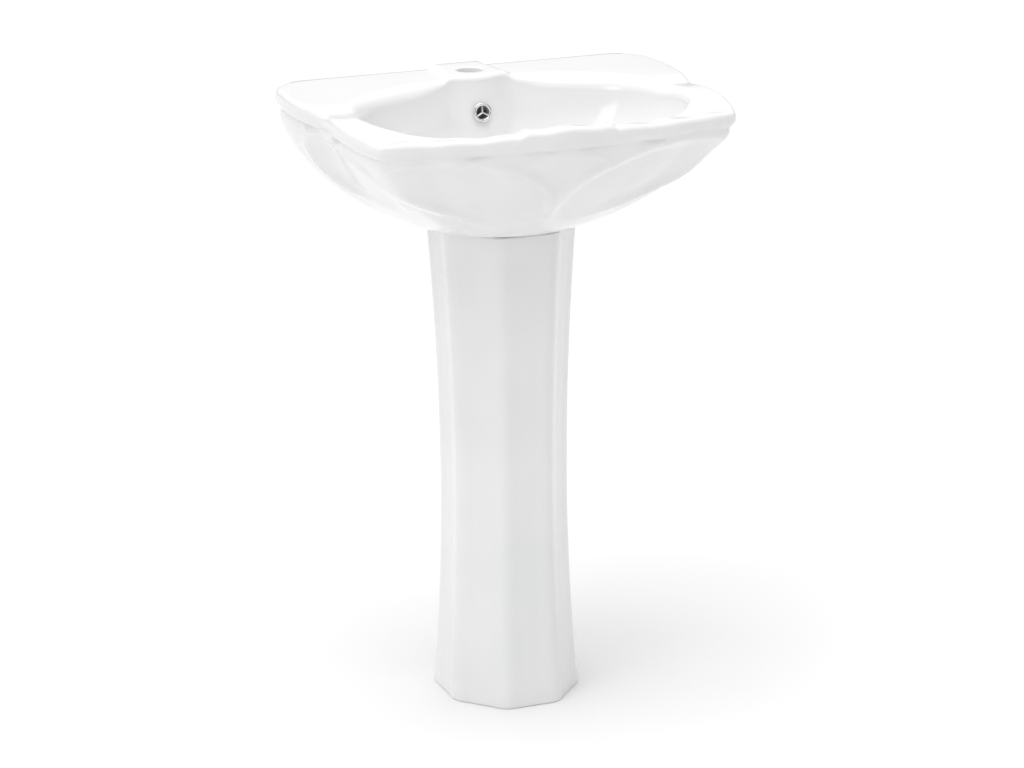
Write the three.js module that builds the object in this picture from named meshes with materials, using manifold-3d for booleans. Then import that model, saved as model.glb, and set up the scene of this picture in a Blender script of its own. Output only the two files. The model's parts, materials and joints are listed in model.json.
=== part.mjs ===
// Pedestal sink: a scalloped ceramic basin on a fluted pedestal, with its overflow, waste, trap and fixings.
// Millimetres. +X to the right seen from the front, -Y to the front, +Z up.
// The origin is on the floor, in the middle of the sink's width and depth.
// Plan places are written as [x, reach], where reach is the distance forward from the wall.
import * as THREE from "three";
import { mergeVertices } from "three/addons/utils/BufferGeometryUtils.js";
import Module from "manifold-3d";

const wasm = await Module();
wasm.setup();

// Whole object
const DEPTH = 410;
const WALL_Y = DEPTH / 2;
const DECK_Z = 824;
const TAP_PLATFORM_RISE = 6;
const FRONT_DIP = 5;
const GAP = 0.3;
const WALL = 12;

// Basin plan: the cusps between the rim's lobes on the right half, from the front to the back corner.
const RIM_CUSPS = [[38, 407], [124, 398], [184, 386], [242, 374], [254, 205], [268, 56], [224, 0]];
const RIM_BULGES = [3, 4, 3, 11, 8, 15];
const RIM_STEPS = [5, 4, 4, 8, 7, 5];
const CENTRE_LOBE = { bulge: 3, steps: 6 };
const BACK_STEPS = 12;
const RIM_CENTRE = [0, 205];
const RIM_HALF_WIDTH = 254;

// Bowl opening: its corners on the right half, from the front to the deck in the middle.
const BOWL_CORNERS = [[100, 377], [206, 300], [170, 146], [40, 80]];
const BOWL_BULGES = [18, 22, 5];
const BOWL_STEPS = [6, 7, 6];
const BOWL_FRONT = { bulge: 6, steps: 6 };
const DECK_FRONT = { bulge: -12, steps: 6 };
const BOWL_FLOOR_Z = 697;
const BOWL_ROUNDNESS = 2.5;
const BOWL_SLOPE = 0.15;
const BOWL_SKIN = 15;
const BOWL_LEVELS = 8;
const DRAIN = [0, 190];
const DRAIN_SEAT_R = 33;

// Basin outside: lip under the rim, then the curve down to the boss over the pedestal.
const LIP = [[0.035, 0], [0.01, 2], [0, 8], [0.004, 15], [0.026, 22]];
const LIP_DROP = 22;
const BACK_ROUNDNESS = 1.8;
const FRONT_ROUNDNESS = 1.25;
const ROUNDNESS_SPAN = [60, 380];
const DIP_SPAN = [240, 400];
const BACK_SPAN = 140;
const OUTSIDE_LEVELS = 7;
const BOSS = { centre: [0, 188], radii: [103, 86], z: 655 };
const BACK_PANEL_BOTTOM = 735;
const BACK_OPENING = { half: 150, front: 30, rise: 20 };
const NECK = { radii: [80, 87], bottom: 650, top: 688, steps: 40 };

// Pedestal
const PEDESTAL_CENTRE = [0, 162];
const PEDESTAL_TOP = 651.7;
const PEDESTAL_WAIST = 300;
const PEDESTAL_FOOT_RADII = [93, 103];
const PEDESTAL_WAIST_RADII = [80, 90];
const PEDESTAL_TOP_RADII = [94, 103];
const FLUTES = 8;
const FLUTE_DEPTH = 3.2;
const PEDESTAL_STEPS = 80;
const PEDESTAL_LEVELS = 8;
const PEDESTAL_HOLLOW_STEPS = 40;
const PEDESTAL_OPEN_REACH = 104;
const CUSHION = { thick: 2.7, openReach: 110, steps: 48 };
const SIDE_CLEARANCE = 200;
const PAST = 1;

// Openings in the basin
const TAP = { centre: [0, 52], r: 17.5 };
const FAN = { back: [28, 9], front: [40, 100], root: 8, bevel: 2 };
const BOLT = { x: 140, z: 772, r: 7 };
const OVERFLOW = { reach: 99, z: 781, tilt: 10, r: 10.4, spotR: 13.4, spotDepth: 1 };
const DUCT = { half: 27, channelHalf: 15, lap: 8, thick: 30, skin: 9, top: 18, knee: 735, foot: 10,
  throat: 9 };
const DUCT_SLOPE = { behind: 20, front: 30, drop: 35, shoulder: [6, 5] };
const WASTE_BORE_R = 23;
const DRAIN_BOSS = { r: 38, bottom: 665 };

// Waste and trap, all on the drain's axis
const TAIL = { r: 22.2, bore: 19, bottom: 592 };
const FLANGE = { r: 31.5, bottom: 699.1, top: 702.1, throat: 2, brow: 1.2, crown: 3,
  slot: { half: 7, bottom: 672, top: 686 } };
const BOWL_SEAL_R = 30;
const LOWER_SEAL = { bore: 22.8, r: 34, bevel: 2, thick: 5 };
const WASHER = { r: 33, thick: 2 };
const BACK_NUT = { bore: 22.6, r: 35, height: 10.4 };
const CARTRIDGE = { r: 8, bore: 4.5, bottom: 648, top: 690, bevel: 1, well: 655,
  arm: { half: 1.2, bottom: 664, top: 669 } };
const PLUG_TRAVEL = 8;
const PLUG_SEAL = { bore: 17, r: 25, thick: 2 };
const PLUG_CAP = { r: 29.5, foot: 1.5, edge: 1.4, brow: 0.7, crownR: 20, crown: 4.4, top: 5.4 };
const STEM = { r: 3.9, bottom: 672, collar: { r: 7, bottom: 700, top: 708, bevel: 2 } };
const TRAP_OUTLET_Z = 545;
const PIPE_R = 16;
const PIPE_BORE = 14.2;
const PIPE_LAP = 2;
const SLIP = 0.4;
const INLET_NUT = { lipBore: 16.6, bore: 22.6, r: 31, bevel: 3, height: 24, lip: 3.7, below: 10 };
const DIP_TUBE = { bottom: 478, flangeR: 22, flange: 3, drop: 3, sealBore: 16.5 };
const TRAP = { r: 30, wall: 3, bottom: 505, top: 575, shoulder: 8, spigot: 130, spigotR: 17.5 };
const CUP_SEAL = { bore: 26, r: 29.6, thick: 2 };
const CUP = { bottom: 436, wall: 4, footR: 16, hipR: 26, r: 29, rimR: 32, bore: 26, thread: 14, lip: 2,
  hip: 6, shoulder: 16 };
const OUTLET_NUT = { lipBore: 16.4, bore: 18, r: 25, bevel: 2, height: 22, lip: 4, below: 10 };
const ROSETTE = { r: 36, edge: 1.5, browR: 30, brow: 4.5, crownR: 19, thick: 7 };

// Overflow insert: its heights are measured out of the bowl's wall
const INSERT = { bore: 8.9, r: 13, crownR: 11.6, mouthR: 10, back: -0.7, edge: 0.6, front: 1.9, inner: 0.8,
  bar: { half: 1.1, thick: 1.6, length: 9.6 } };
const SLEEVE = { bore: 8.4, r: 9.9, back: -9, front: -1.1 };
const THIRDS = [0, 120, 240];

// Fixings at the pedestal's foot
const BRACKET = { width: 24, foot: 22, height: 34, thick: 2.5, x: 74, screwZ: 22 };
const SCREW = { r: 2.4, headR: 5.2, crownR: 4, headHeight: 2.6, crown: 0.4, clearR: 2.9, pilotR: 3,
  pilotDepth: 9.5, sideLength: 11 };

// Facets round small turned parts
const COARSE = 16;
const FINE = 32;

const glazed = new THREE.MeshStandardMaterial({ color: 0xf4f4f2, roughness: 0.12 });
const chrome = new THREE.MeshStandardMaterial({ color: 0xd8dadd, roughness: 0.1, metalness: 1 });
const rubber = new THREE.MeshStandardMaterial({ color: 0x202022, roughness: 0.8 });
const whitePlastic = new THREE.MeshStandardMaterial({ color: 0xe6e7e6, roughness: 0.4 });
const greyPlastic = new THREE.MeshStandardMaterial({ color: 0xb9bcbe, roughness: 0.45 });
const zinc = new THREE.MeshStandardMaterial({ color: 0xb4b7ba, roughness: 0.35, metalness: 1 });

const sink = new THREE.Group();

// ---------- solids ----------

// A closed geometry as a solid, with its shared vertices merged and its empty triangles dropped.
function solid(geometry) {
  const bare = new THREE.BufferGeometry();
  const source = geometry.index ? geometry.toNonIndexed() : geometry;
  bare.setAttribute("position", source.getAttribute("position"));
  const merged = mergeVertices(bare, 1e-4);
  const corners = merged.index.array;
  const kept = [];
  for (let i = 0; i < corners.length; i += 3) {
    const [a, b, c] = corners.slice(i, i + 3);
    if (a !== b && b !== c && c !== a) kept.push(a, b, c);
  }
  const vertProperties = merged.attributes.position.array;
  return new wasm.Manifold(new wasm.Mesh({ numProp: 3, vertProperties, triVerts: new Uint32Array(kept) }));
}

function geometryOf(body) {
  const { vertProperties, triVerts } = body.getMesh();
  const geometry = new THREE.BufferGeometry();
  geometry.setAttribute("position", new THREE.BufferAttribute(vertProperties, 3));
  geometry.setIndex(new THREE.BufferAttribute(triVerts, 1));
  const shaded = geometry.toNonIndexed();
  shaded.computeVertexNormals();
  return shaded;
}

function addPiece(name, body, material) {
  const piece = new THREE.Mesh(geometryOf(body), material);
  piece.name = name;
  sink.add(piece);
}

function joined(first, ...others) {
  return others.reduce((whole, other) => whole.add(other), first);
}

function cut(first, ...tools) {
  return tools.reduce((whole, tool) => whole.subtract(tool), first);
}

// A body of revolution about Z from a closed profile of [radius, z] corners, listed counter-clockwise.
function turned(profile, segments = 24) {
  const points = profile.map(([r, z]) => new THREE.Vector2(r, z));
  points.push(points[0].clone());
  return solid(new THREE.LatheGeometry(points, segments).rotateX(Math.PI / 2));
}

// A plain ring or, with no inner radius, a disc between two heights.
function ring(inner, outer, bottom, top, segments = 24) {
  return turned([[inner, bottom], [outer, bottom], [outer, top], [inner, top]], segments);
}

// Moves a body made about the Z axis to the drain's axis.
function onDrain(body) {
  return body.translate([DRAIN[0], WALL_Y - DRAIN[1], 0]);
}

// Lays a body made about the Z axis down along -Y, so that its z becomes reach, at the given x and height.
function fromWall(body, x, z) {
  return body.rotate([90, 0, 0]).translate([x, WALL_Y, z]);
}

// A [reach, z] outline extruded across the middle of the sink.
function crossPrism(outline, halfWidth, centreX = 0) {
  const shape = new THREE.Shape(outline.map(([reach, z]) => new THREE.Vector2(-reach, z)));
  const geometry = new THREE.ExtrudeGeometry(shape, { depth: 2 * halfWidth, bevelEnabled: false });
  const across = new THREE.Vector3(1, 0, 0);
  const back = new THREE.Vector3(0, 1, 0);
  const up = new THREE.Vector3(0, 0, 1);
  geometry.applyMatrix4(new THREE.Matrix4().makeBasis(back, up, across));
  geometry.translate(centreX - halfWidth, WALL_Y, 0);
  return solid(geometry);
}

function box(low, high) {
  const size = high.map((value, i) => value - low[i]);
  const middle = high.map((value, i) => (value + low[i]) / 2);
  return solid(new THREE.BoxGeometry(...size).translate(...middle));
}

// ---------- plan outlines ----------

// An arc of the given bulge from a towards b, without b. The bulge is to the right of the way from a to b.
function arc(a, b, bulge, steps) {
  const start = new THREE.Vector2(...a);
  const way = new THREE.Vector2(...b).sub(start);
  const out = new THREE.Vector2(way.y, -way.x).normalize();
  const points = [];
  for (let i = 0; i < steps; i++) {
    const t = i / steps;
    const lift = 4 * bulge * t * (1 - t);
    points.push([start.x + way.x * t + out.x * lift, start.y + way.y * t + out.y * lift]);
  }
  return points;
}

// A closed outline, symmetric about x = 0, from its right-hand corners, listed from the front to the back.
function mirroredOutline(corners, bulges, steps, back, front) {
  const right = corners.slice(1).flatMap((corner, i) => arc(corners[i], corner, -bulges[i], steps[i]));
  const last = corners[corners.length - 1];
  const mirror = ([x, reach]) => [-x, reach];
  const left = [...right.slice(1), last].reverse().map(mirror);
  const backEdge = arc(last, mirror(last), -back.bulge, back.steps);
  const frontEdge = arc(mirror(corners[0]), corners[0], -front.bulge, front.steps);
  return [...right, ...backEdge, ...left, ...frontEdge];
}

const rimOutline = mirroredOutline(RIM_CUSPS, RIM_BULGES, RIM_STEPS,
  { bulge: 0, steps: BACK_STEPS }, CENTRE_LOBE);
const bowlOutline = mirroredOutline(BOWL_CORNERS, BOWL_BULGES, BOWL_STEPS, DECK_FRONT, BOWL_FRONT);

// The point of an ellipse in the direction in which a rim point lies from the rim's centre.
function ellipsePoint([x, reach], centre, radii) {
  const angle = Math.atan2((reach - RIM_CENTRE[1]) / DEPTH, (x - RIM_CENTRE[0]) / (2 * RIM_HALF_WIDTH));
  return [centre[0] + radii[0] * Math.cos(angle), centre[1] + radii[1] * Math.sin(angle)];
}

function ellipseOutline(centre, radii, steps) {
  return Array.from({ length: steps }, (_, i) => {
    const angle = (2 * Math.PI * i) / steps;
    return [centre[0] + radii[0] * Math.cos(angle), centre[1] - radii[1] * Math.sin(angle)];
  });
}

const mix = THREE.MathUtils.lerp;
const ease = THREE.MathUtils.smoothstep;

// A closed solid through rings of [x, reach, z] points listed from the top ring down.
function loft(rings) {
  const count = rings[0].length;
  const positions = [];
  const corner = ([x, reach, z]) => positions.push(x, WALL_Y - reach, z);
  const middle = (points) => [0, 1, 2].map((k) => points.reduce((sum, p) => sum + p[k], 0) / count);
  const triangle = (...points) => points.forEach(corner);
  const [top, bottom] = [rings[0], rings[rings.length - 1]];
  for (let i = 0; i < count; i++) {
    const j = (i + 1) % count;
    triangle(middle(top), top[i], top[j]);
    triangle(middle(bottom), bottom[j], bottom[i]);
    for (let level = 0; level + 1 < rings.length; level++) {
      const [upper, lower] = [rings[level], rings[level + 1]];
      triangle(upper[i], lower[j], upper[j]);
      triangle(upper[i], lower[i], lower[j]);
    }
  }
  const geometry = new THREE.BufferGeometry();
  geometry.setAttribute("position", new THREE.BufferAttribute(new Float32Array(positions), 3));
  return solid(geometry);
}

// The same outline at each of the given heights.
function column(outline, heights) {
  return loft(heights.map((z) => outline.map(([x, reach]) => [x, reach, z])));
}

function moved([x, reach], inset) {
  const [cx, cr] = RIM_CENTRE;
  const length = Math.hypot(x - cx, reach - cr);
  const share = 1 - inset / length;
  return [cx + (x - cx) * share, cr + (reach - cr) * share];
}

// ---------- basin ----------

// One ring of the basin's outside.
// shareOf says how far each point has closed from the rim (0) to the boss (1).
// Near the wall the ring keeps its reach down to the bottom of the back panel.
function outsideRing(shareOf, drop, inset = 0, outline = rimOutline) {
  const z = DECK_Z - drop;
  const backShare = 1 - ease(z, BOSS.z, BACK_PANEL_BOTTOM);
  return outline.map((point) => {
    const share = shareOf(point);
    const boss = ellipsePoint(point, BOSS.centre, BOSS.radii);
    const free = ease(point[1], 0, BACK_SPAN);
    const reachShare = mix(Math.min(share, backShare), share, free);
    const plan = moved([mix(point[0], boss[0], share), mix(point[1], boss[1], reachShare)], inset);
    const dip = FRONT_DIP * ease(point[1], ...DIP_SPAN) * (1 - share);
    return [plan[0], Math.max(plan[1], inset), z - dip];
  });
}

// The rings below the lip. The outside is fuller at the back than at the front.
function lowerRings(inset, outline, lowest) {
  const last = LIP[LIP.length - 1][0];
  const rings = [];
  for (let level = 1; level <= OUTSIDE_LEVELS; level++) {
    const part = Math.sin((level / OUTSIDE_LEVELS) * (Math.PI / 2));
    const drop = LIP_DROP + part * (DECK_Z - BOSS.z - LIP_DROP);
    const shareOf = ([, reach]) => {
      const roundness = mix(BACK_ROUNDNESS, FRONT_ROUNDNESS, ease(reach, ...ROUNDNESS_SPAN));
      return last + (1 - last) * (1 - (1 - part ** roundness) ** (1 / roundness));
    };
    if (DECK_Z - drop >= lowest) rings.push(outsideRing(shareOf, drop, inset, outline));
  }
  return rings;
}

function outsideBody() {
  const lip = LIP.map(([share, drop]) => outsideRing(() => share, drop));
  return loft([...lip, ...lowerRings(0, rimOutline, BOSS.z - 1)]);
}

// The bowl's space, or with a skin the solid that stands round it.
function bowlBody(skin) {
  const depth = DECK_Z - BOWL_FLOOR_Z;
  const ringAt = (part) => {
    const share = BOWL_SLOPE * part
      + (1 - BOWL_SLOPE) * (1 - (1 - part ** BOWL_ROUNDNESS) ** (1 / BOWL_ROUNDNESS));
    return bowlOutline.map((point) => {
      const drain = ellipsePoint(point, DRAIN, [DRAIN_SEAT_R, DRAIN_SEAT_R]);
      const plan = moved([mix(point[0], drain[0], share), mix(point[1], drain[1], share)], -skin);
      return [...plan, DECK_Z - skin - part * depth];
    });
  };
  const levels = Array.from({ length: BOWL_LEVELS + 1 }, (_, i) => i / BOWL_LEVELS);
  const rings = levels.map((level) => ringAt(Math.sin(level * (Math.PI / 2))));
  const lid = rings[0].map(([x, reach]) => [x, reach, DECK_Z + 2 * WALL]);
  return loft([lid, ...rings]);
}

// The cast hollow between the outside and the bowl, open at the back and over the pedestal.
function hollowBody() {
  const coarse = rimOutline.filter((_, i) => i % 2 === 0);
  const ceiling = outsideRing(() => LIP[1][0], WALL + 2, WALL, coarse);
  const rings = [ceiling, ...lowerRings(WALL, coarse, NECK.top - WALL)];
  const neck = ellipseOutline(PEDESTAL_CENTRE, NECK.radii, NECK.steps);
  const { half, front, rise } = BACK_OPENING;
  const back = [[WALL, BOSS.z - WALL], [PEDESTAL_CENTRE[1], BOSS.z - WALL],
    [PEDESTAL_CENTRE[1], BACK_PANEL_BOTTOM - front], [WALL, BACK_PANEL_BOTTOM + rise],
    [-WALL, BACK_PANEL_BOTTOM], [-WALL, BOSS.z - WALL]];
  return joined(
    loft(rings),
    column(neck, [NECK.top, NECK.bottom]),
    crossPrism(back, half),
  );
}

// The duct behind the bowl that carries the overflow down to the waste, as [reach, z] corners.
function ductOutline(top, skin) {
  const { knee, throat } = DUCT;
  const { shoulder, drop } = DUCT_SLOPE;
  const front = OVERFLOW.reach - DUCT.lap;
  const behind = OVERFLOW.reach - DUCT.thick - skin;
  const foot = DRAIN_BOSS.bottom + DUCT.foot - skin;
  return [[front - skin, top], [behind, top], [behind, knee], [behind + DUCT_SLOPE.behind, foot],
    [DRAIN[1], foot], [DRAIN[1], foot + throat + 2 * skin],
    [front + DUCT_SLOPE.front + skin, knee - drop + skin], [front + shoulder[0], knee + shoulder[1]]];
}

// A tool made about the Z axis, turned to lie in the bowl's back wall and face the front.
function atOverflow(body) {
  return body.rotate([90 - OVERFLOW.tilt, 0, 0]).translate([0, WALL_Y - OVERFLOW.reach, OVERFLOW.z]);
}

// The raised fan round the tap hole. It is rooted in the deck, and its bevel adds to its height.
function tapPlatform() {
  const { back, front, root, bevel } = FAN;
  const outline = [[-back[0], back[1]], back, front, [-front[0], front[1]]];
  const shape = new THREE.Shape(outline.map(([x, reach]) => new THREE.Vector2(x, WALL_Y - reach)));
  const depth = TAP_PLATFORM_RISE + root;
  const settings = { depth, bevelThickness: bevel, bevelSize: bevel, bevelSegments: 2 };
  const geometry = new THREE.ExtrudeGeometry(shape, settings);
  return solid(geometry.translate(0, 0, DECK_Z - root - bevel));
}

function basinBody() {
  const drainBoss = onDrain(ring(0, DRAIN_BOSS.r, DRAIN_BOSS.bottom, BOWL_FLOOR_Z - 2 * PAST));
  const duct = crossPrism(ductOutline(DECK_Z - WALL / 2, DUCT.skin), DUCT.half);
  const kept = joined(bowlBody(BOWL_SKIN), drainBoss, duct);
  const shell = cut(joined(outsideBody(), tapPlatform()), bowlBody(0), cut(hollowBody(), kept));
  const [tapX, tapReach] = TAP.centre;
  const tapDrill = ring(0, TAP.r, DECK_Z - 3 * WALL, DECK_Z + WALL, FINE);
  const tapHole = tapDrill.translate([tapX, WALL_Y - tapReach, 0]);
  const boltHole = (x) => fromWall(ring(0, BOLT.r, -WALL, 2 * WALL), x, BOLT.z);
  return cut(
    shell,
    tapHole,
    boltHole(-BOLT.x),
    boltHole(BOLT.x),
    onDrain(ring(0, WASTE_BORE_R, DRAIN_BOSS.bottom - WALL, BOWL_FLOOR_Z + WALL, FINE)),
    atOverflow(ring(0, OVERFLOW.r, -DUCT.thick / 2, DUCT.thick / 2)),
    atOverflow(ring(0, OVERFLOW.spotR, -OVERFLOW.spotDepth, DUCT.thick / 2)),
    crossPrism(ductOutline(OVERFLOW.z + DUCT.top, 0), DUCT.channelHalf),
  );
}

// ---------- pedestal ----------

// The pedestal's radii at a height: widest at the head and the foot.
function pedestalRadii(z) {
  const above = z > PEDESTAL_WAIST;
  const end = above ? PEDESTAL_TOP_RADII : PEDESTAL_FOOT_RADII;
  const span = above ? PEDESTAL_TOP - PEDESTAL_WAIST : PEDESTAL_WAIST;
  const part = (Math.abs(z - PEDESTAL_WAIST) / span) ** 2;
  return PEDESTAL_WAIST_RADII.map((waist, axis) => mix(waist, end[axis], part));
}

function pedestalRing(z, inset, flute, steps) {
  const [rx, ry] = pedestalRadii(z);
  return Array.from({ length: steps }, (_, i) => {
    const angle = (2 * Math.PI * i) / steps;
    const wave = flute * Math.cos(FLUTES * (angle - Math.PI / FLUTES - Math.PI / 2));
    const x = PEDESTAL_CENTRE[0] + (rx - inset + wave) * Math.cos(angle);
    return [x, PEDESTAL_CENTRE[1] - (ry - inset + wave) * Math.sin(angle), z];
  });
}

function pedestalColumn(bottom, top, inset, flute, steps) {
  const rings = [];
  for (let level = PEDESTAL_LEVELS; level >= 0; level--) {
    rings.push(pedestalRing(mix(bottom, top, level / PEDESTAL_LEVELS), inset, flute, steps));
  }
  return loft(rings);
}

function pedestalBody() {
  const outer = pedestalColumn(0, PEDESTAL_TOP, 0, FLUTE_DEPTH, PEDESTAL_STEPS);
  const inner = pedestalColumn(-PAST, PEDESTAL_TOP + PAST, WALL, 0, PEDESTAL_HOLLOW_STEPS);
  const side = SIDE_CLEARANCE;
  const back = box([-side, WALL_Y - PEDESTAL_OPEN_REACH, -PAST], [side, WALL_Y, PEDESTAL_TOP + PAST]);
  const pilot = ring(0, SCREW.pilotR, -PAST, SCREW.pilotDepth, COARSE);
  const screwHoles = [-1, 1].map((hand) => bracketScrewPlace(pilot, hand));
  return cut(outer, inner, back, ...screwHoles);
}

function cushionBody() {
  const [bottom, top] = [PEDESTAL_TOP + GAP, PEDESTAL_TOP + GAP + CUSHION.thick];
  const outline = (inset) => {
    const radii = PEDESTAL_TOP_RADII.map((r) => r - inset);
    return ellipseOutline(PEDESTAL_CENTRE, radii, CUSHION.steps);
  };
  const outer = outline(FLUTE_DEPTH + PAST);
  const inner = outline(WALL - PAST);
  const back = box([-SIDE_CLEARANCE, WALL_Y - CUSHION.openReach, 0], [SIDE_CLEARANCE, WALL_Y, DECK_Z]);
  return cut(column(outer, [top, bottom]), column(inner, [top + PAST, bottom - PAST]), back);
}

// ---------- fixings ----------

// A tool or screw made about the Z axis, laid along X through a bracket's upright, pointing outwards.
function bracketScrewPlace(body, side) {
  const face = side * (BRACKET.x + BRACKET.thick + GAP);
  return body.rotate([0, side * 90, 0]).translate([face, WALL_Y - PEDESTAL_CENTRE[1], BRACKET.screwZ]);
}

function addBracket(label, side) {
  const y = WALL_Y - PEDESTAL_CENTRE[1];
  const half = BRACKET.width / 2;
  const spanX = (a, b) => [Math.min(side * a, side * b), Math.max(side * a, side * b)];
  const plate = (a, b, low, high) => {
    const [left, right] = spanX(a, b);
    return box([left, y - half, low], [right, y + half, high]);
  };
  const { x, thick, foot, height } = BRACKET;
  const screwX = side * (x - foot / 2);
  const angle = cut(
    joined(plate(x - foot, x + thick, 0, thick), plate(x, x + thick, 0, height)),
    ring(0, SCREW.clearR, -PAST, thick + PAST, COARSE).translate([screwX, y, 0]),
    bracketScrewPlace(ring(0, SCREW.clearR, -3 * thick, PAST, COARSE), side),
  );
  const head = thick + GAP;
  const { r, headR, crownR, headHeight, crown } = SCREW;
  const screw = (length) => turned([[0, -length], [r, -length], [r, 0], [headR, 0], [crownR, headHeight],
    [0, headHeight + crown]], COARSE);
  addPiece(`floor_bracket_${label}`, angle, zinc);
  addPiece(`floor_screw_${label}`, screw(head).translate([screwX, y, head]), zinc);
  const sideScrew = screw(SCREW.sideLength).rotate([180, 0, 0]).translate([0, 0, -thick - 2 * GAP]);
  addPiece(`pedestal_screw_${label}`, bracketScrewPlace(sideScrew, side), zinc);
}

// ---------- overflow and waste ----------

function addOverflow() {
  const { bore, r, crownR, mouthR, back, edge, front, inner, bar } = INSERT;
  const spoke = box([-bar.half, 0, -bar.thick / 2], [bar.half, bar.length, bar.thick / 2]);
  const spokes = THIRDS.map((turn) => spoke.rotate([0, 0, turn]));
  const profile = [[bore, back], [r, back], [r, edge], [crownR, front], [mouthR, front], [bore, inner]];
  addPiece("overflow_ring", atOverflow(joined(turned(profile, FINE), ...spokes)), chrome);
  const sleeve = ring(SLEEVE.bore, SLEEVE.r, SLEEVE.back, SLEEVE.front);
  addPiece("overflow_sleeve", atOverflow(sleeve), greyPlastic);
}

function wasteBody() {
  const { throat, brow, crown, slot } = FLANGE;
  const profile = [[TAIL.bore, TAIL.bottom], [TAIL.r, TAIL.bottom], [TAIL.r, FLANGE.bottom],
    [FLANGE.r, FLANGE.bottom], [FLANGE.r, FLANGE.top - brow], [FLANGE.r - crown, FLANGE.top],
    [TAIL.bore + throat, FLANGE.top], [TAIL.bore, FLANGE.top - crown]];
  const across = box([-slot.half, -FLANGE.r, slot.bottom], [slot.half, FLANGE.r, slot.top]);
  return cut(turned(profile, FINE), across);
}

function addWaste() {
  const seat = BOWL_FLOOR_Z + GAP;
  addPiece("waste_body", onDrain(wasteBody()), chrome);
  const bowlSeal = ring(WASTE_BORE_R + PAST, BOWL_SEAL_R, seat, FLANGE.bottom - GAP);
  addPiece("bowl_seal", onDrain(bowlSeal), rubber);

  const under = DRAIN_BOSS.bottom - GAP;
  const { bore, r, bevel, thick } = LOWER_SEAL;
  const sealProfile = [[bore, under - thick], [r - bevel, under - thick], [r, under - bevel], [r, under],
    [bore, under]];
  addPiece("waste_lower_seal", onDrain(turned(sealProfile)), rubber);

  const washerTop = under - thick - GAP;
  const washerBottom = washerTop - WASHER.thick;
  addPiece("waste_washer", onDrain(ring(bore, WASHER.r, washerBottom, washerTop)), whitePlastic);
  const nutTop = washerBottom - GAP;
  const nutBottom = nutTop - BACK_NUT.height;
  const hexagon = ring(0, BACK_NUT.r, nutBottom, nutTop, 6);
  const nutBore = ring(0, BACK_NUT.bore, nutBottom - PAST, nutTop + PAST);
  addPiece("waste_back_nut", onDrain(cut(hexagon, nutBore)), whitePlastic);
  addPiece("click_cartridge", onDrain(cartridge()), greyPlastic);
}

// The barrel that the plug's stem clicks into, held in the tail by three arms.
function cartridge() {
  const { r, bore, bottom, top, bevel, well, arm } = CARTRIDGE;
  const barrel = turned([[0, bottom], [r - bevel, bottom], [r, bottom + 2 * bevel], [r, top], [bore, top],
    [bore, well], [0, well]]);
  const plate = box([-arm.half, 0, arm.bottom], [arm.half, TAIL.bore - GAP, arm.top]);
  const arms = joined(...THIRDS.map((turn) => plate.rotate([0, 0, turn + 90])));
  return joined(barrel, cut(arms, ring(0, r - 2 * bevel, arm.bottom - PAST, arm.top + PAST, COARSE)));
}

// The press plug at rest is up, with the bowl open. It closes when it is pressed down.
function addPlug() {
  const sealBottom = FLANGE.top + GAP + PLUG_TRAVEL;
  const sealTop = sealBottom + PLUG_SEAL.thick;
  const cap = sealTop + GAP;
  addPiece("plug_seal", onDrain(ring(PLUG_SEAL.bore, PLUG_SEAL.r, sealBottom, sealTop)), rubber);
  const { r, foot, edge, brow, crownR, crown, top } = PLUG_CAP;
  const capProfile = [[0, cap], [r - foot, cap], [r, cap + edge], [r - brow, cap + 2 * edge],
    [crownR, cap + crown], [0, cap + top]];
  addPiece("plug_cap", onDrain(turned(capProfile, FINE)), chrome);
  const stop = STEM.collar;
  const stem = [[0, STEM.bottom], [STEM.r, STEM.bottom], [STEM.r, stop.bottom],
    [stop.r, stop.bottom + stop.bevel], [stop.r, stop.top - stop.bevel], [STEM.r, stop.top],
    [STEM.r, cap - GAP], [0, cap - GAP]];
  addPiece("plug_stem", onDrain(turned(stem, COARSE)), chrome);
}

// ---------- trap ----------

// A screwed collar about Z: a lip of the given bore under a wider bore, with its ends bevelled.
function collar({ lipBore, bore, r, bevel, height, lip }, bottom) {
  const top = bottom + height;
  return turned([[lipBore, bottom], [r - bevel, bottom], [r, bottom + bevel], [r, top - bevel],
    [r - bevel, top], [bore, top], [bore, bottom + lip], [lipBore, bottom + lip]]);
}

function addTrapInlet() {
  const nut = collar(INLET_NUT, TAIL.bottom - INLET_NUT.below);
  addPiece("trap_inlet_nut", onDrain(nut), whitePlastic);
  const { bottom, flangeR, flange, drop, sealBore } = DIP_TUBE;
  const top = TAIL.bottom - drop;
  const dipTube = turned([[PIPE_BORE, bottom], [PIPE_R, bottom], [PIPE_R, top - flange],
    [flangeR, top - flange], [flangeR, top], [PIPE_BORE, top]]);
  addPiece("trap_dip_tube", onDrain(dipTube), whitePlastic);
  const inletSeal = ring(sealBore, flangeR, top + GAP, TAIL.bottom - GAP);
  addPiece("trap_inlet_seal", onDrain(inletSeal), rubber);
}

function trapBody() {
  const { r, wall, bottom, top, shoulder, spigot, spigotR } = TRAP;
  const mouth = PIPE_R + SLIP;
  const shell = turned([[r - wall, bottom], [r, bottom], [r, top - shoulder], [r - shoulder, top],
    [mouth, top], [mouth, top - wall], [r - shoulder - wall / 2, top - wall],
    [r - wall, top - shoulder - PAST]], FINE);
  const tube = fromWall(ring(PIPE_BORE, spigotR, spigot, DRAIN[1] - r + wall - PAST), 0, TRAP_OUTLET_Z);
  const bore = fromWall(ring(0, PIPE_BORE, spigot - PAST, DRAIN[1] - r / 2), 0, TRAP_OUTLET_Z);
  return cut(joined(onDrain(shell), tube), bore);
}

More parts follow.
